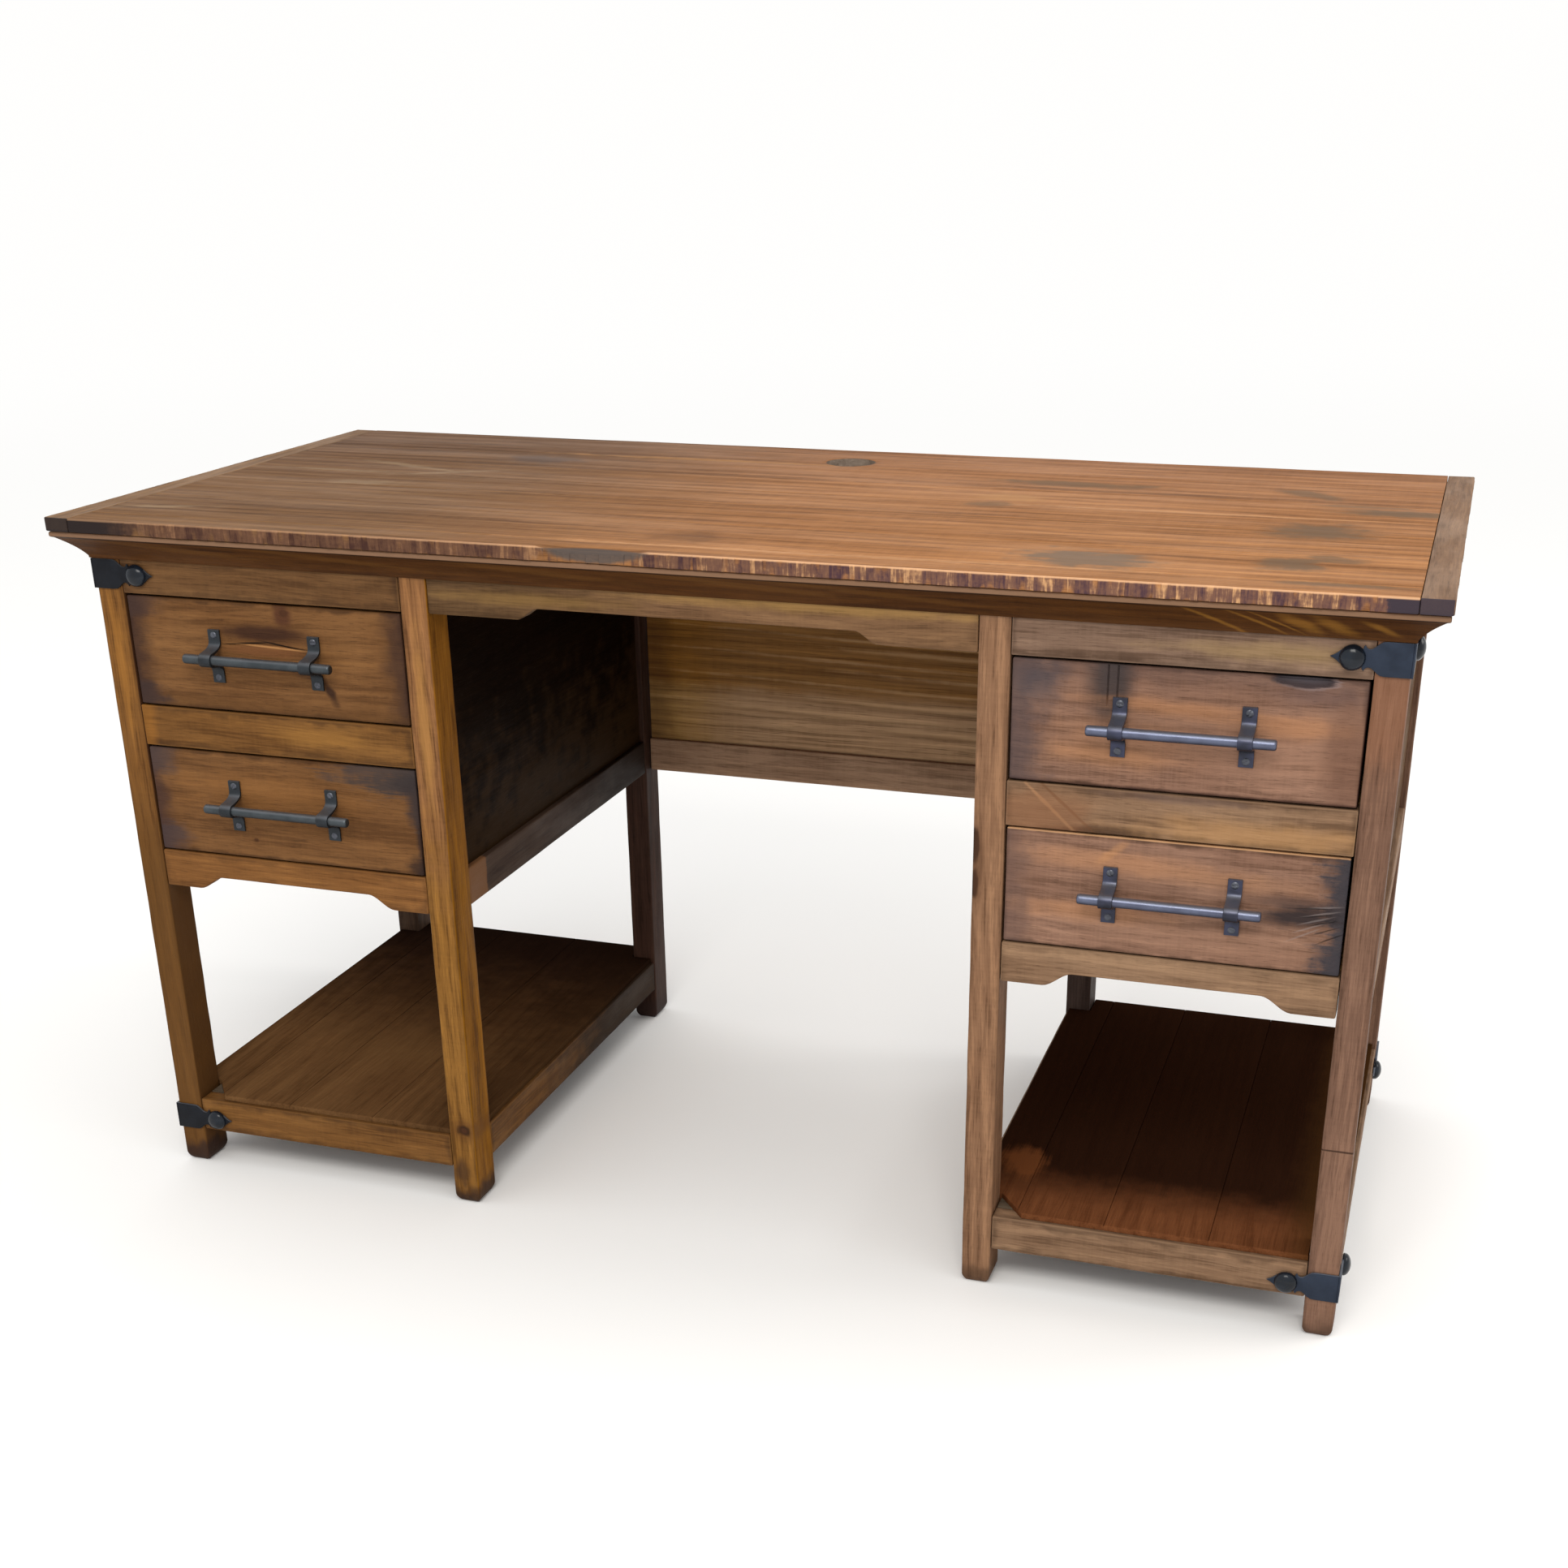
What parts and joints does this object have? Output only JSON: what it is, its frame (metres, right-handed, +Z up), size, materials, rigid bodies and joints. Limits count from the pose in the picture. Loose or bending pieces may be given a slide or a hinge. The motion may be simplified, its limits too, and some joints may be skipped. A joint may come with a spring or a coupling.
{
  "type": "writing desk",
  "caption": "Rustic double-pedestal writing desk with sliding drawers, open lower shelves, a crown moulding under the top and iron corner straps and bar pulls.",
  "frame": {"origin": "on the floor, under the middle of the desk top", "axes": "+X along the desk to the right, seen from the sitter's side; +Y from front to back; +Z up"},
  "size_m": [1.408, 0.652, 0.762],
  "materials": {
    "top_wood": "waxed, satin",
    "end_wood": "waxed, satin",
    "crown_wood": "dark stained, satin",
    "post_wood": "stained, satin",
    "rail_wood": "stained, satin",
    "drawer_wood": "stained and burnt at the ends, satin",
    "panel_wood": "stained, satin",
    "shelf_wood": "dark stained, semi-gloss",
    "inside_wood": "bare, matte",
    "iron": "blue-black forged, satin"
  },
  "bodies": {
    "desk_frame": {"top_field": "top_wood", "top_front_strip": "top_wood", "top_end_left": "end_wood", "top_end_right": "end_wood", "crown_front": "crown_wood", "crown_right": "crown_wood", "crown_back": "crown_wood", "crown_left": "crown_wood", "post_left_outer_front": "post_wood", "post_left_outer_rear": "post_wood", "post_left_inner_front": "post_wood", "post_left_inner_rear": "post_wood", "post_right_outer_front": "post_wood", "post_right_outer_rear": "post_wood", "post_right_inner_front": "post_wood", "post_right_inner_rear": "post_wood", "top_rail_left": "rail_wood", "mid_rail_left": "rail_wood", "bottom_rail_left": "rail_wood", "shelf_rail_left_front": "rail_wood", "top_rail_right": "rail_wood", "mid_rail_right": "rail_wood", "bottom_rail_right": "rail_wood", "shelf_rail_right_front": "rail_wood", "kneehole_apron": "rail_wood", "side_panel_left_outer": "panel_wood", "shelf_rail_left_outer": "rail_wood", "side_panel_left_inner": "panel_wood", "shelf_rail_left_inner": "rail_wood", "back_panel_left": "panel_wood", "shelf_rail_left_rear": "rail_wood", "side_panel_right_outer": "panel_wood", "shelf_rail_right_outer": "rail_wood", "side_panel_right_inner": "panel_wood", "shelf_rail_right_inner": "rail_wood", "back_panel_right": "panel_wood", "shelf_rail_right_rear": "rail_wood", "modesty_panel": "panel_wood", "shelf_left": "shelf_wood", "shelf_right": "shelf_wood", "runner_frame_left_upper": "inside_wood", "runner_frame_left_lower": "inside_wood", "runner_frame_right_upper": "inside_wood", "runner_frame_right_lower": "inside_wood", "corner_strap_left_upper": "iron", "corner_strap_left_lower": "iron", "corner_strap_right_upper": "iron", "corner_strap_right_lower": "iron"},
    "drawer_1": {"drawer_1_front": "drawer_wood", "drawer_1_box": "inside_wood", "drawer_1_pull": "iron"},
    "drawer_2": {"drawer_2_front": "drawer_wood", "drawer_2_box": "inside_wood", "drawer_2_pull": "iron"},
    "drawer_3": {"drawer_3_front": "drawer_wood", "drawer_3_box": "inside_wood", "drawer_3_pull": "iron"},
    "drawer_4": {"drawer_4_front": "drawer_wood", "drawer_4_box": "inside_wood", "drawer_4_pull": "iron"}
  },
  "joints": [
    {"name": "drawer_1_slide", "type": "slide", "parent": "desk_frame", "child": "drawer_1", "axis": [0, -1, 0], "range_m": [0, 0.36]},
    {"name": "drawer_2_slide", "type": "slide", "parent": "desk_frame", "child": "drawer_2", "axis": [0, -1, 0], "range_m": [0, 0.36]},
    {"name": "drawer_3_slide", "type": "slide", "parent": "desk_frame", "child": "drawer_3", "axis": [0, -1, 0], "range_m": [0, 0.36]},
    {"name": "drawer_4_slide", "type": "slide", "parent": "desk_frame", "child": "drawer_4", "axis": [0, -1, 0], "range_m": [0, 0.36]}
  ]
}
